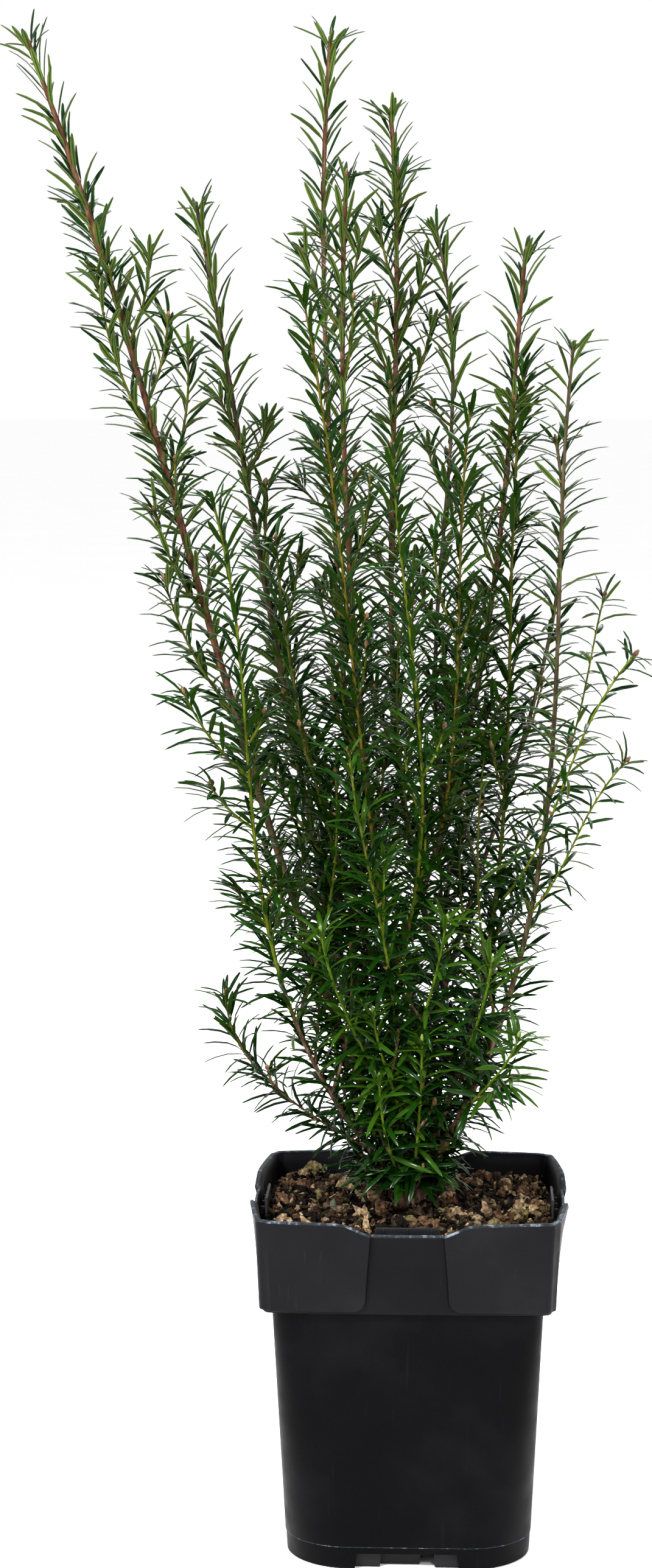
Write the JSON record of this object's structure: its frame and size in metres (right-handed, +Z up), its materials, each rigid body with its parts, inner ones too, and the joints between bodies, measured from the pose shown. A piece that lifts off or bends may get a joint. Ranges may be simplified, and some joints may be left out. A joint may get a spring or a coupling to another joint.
{
  "type": "potted english yew shrub",
  "caption": "Young many-stemmed yew with upright needle-clad leaders, growing in a square black nursery pot filled with bark mix.",
  "frame": {"origin": "centre of the pot's flat underside, on its centre foot", "axes": "+Z up along the pot's centre line, -Y towards the side that is seen, +X to the right"},
  "size_m": [0.3914, 0.2549, 0.9145],
  "materials": {
    "pot_plastic": "black injection-moulded plastic, satin, faintly textured and scuffed",
    "bark_mix": "loose composted bark chips, rough",
    "stem_bark": "red-brown thin bark, olive on the younger shoots",
    "needles": "dark green needles, glossy above and pale below",
    "young_needles": "bright yellow-green young needles"
  },
  "bodies": {
    "root": {"pot": "pot_plastic", "potting_mix": "bark_mix", "trunk": "stem_bark", "stem_left_outer": "stem_bark", "stem_left_front": "stem_bark", "stem_middle": "stem_bark", "stem_right_middle": "stem_bark", "stem_right_outer": "stem_bark", "stem_right_back": "stem_bark", "stem_left_back": "stem_bark", "bough_right_tall": "stem_bark", "foliage_left_outer": "needles", "foliage_left_front": "needles", "foliage_right_middle": "needles", "foliage_right_outer": "needles", "foliage_right_back": "needles", "foliage_left_back": "needles", "foliage_right_tall": "needles", "foliage_left_inner": "needles", "foliage_centre_front_tall": "needles", "foliage_centre_tall": "needles", "foliage_centre_back_tall": "needles", "foliage_centre_back": "needles", "foliage_centre_front": "needles", "foliage_right_back_tall": "needles", "foliage_right_inner": "needles", "foliage_right_back_low": "needles", "foliage_right_front_low": "needles", "foliage_right_low": "needles", "foliage_front_young_tall": "young_needles", "foliage_front_young_left": "young_needles", "foliage_front_young_right": "young_needles", "foliage_front_young_low": "young_needles", "foliage_right_young": "young_needles", "foliage_right_young_low": "young_needles", "foliage_left_low": "needles", "foliage_left_young": "young_needles", "foliage_back_middle": "needles", "foliage_back_left": "needles", "foliage_back_right": "needles", "foliage_back_right_low": "needles", "foliage_back_left_low": "needles", "foliage_back_low": "needles", "foliage_foot_1": "young_needles", "foliage_foot_2": "young_needles", "foliage_foot_4": "young_needles", "foliage_foot_5": "young_needles", "foliage_foot_6": "young_needles", "foliage_foot_7": "young_needles"}
  },
  "joints": []
}
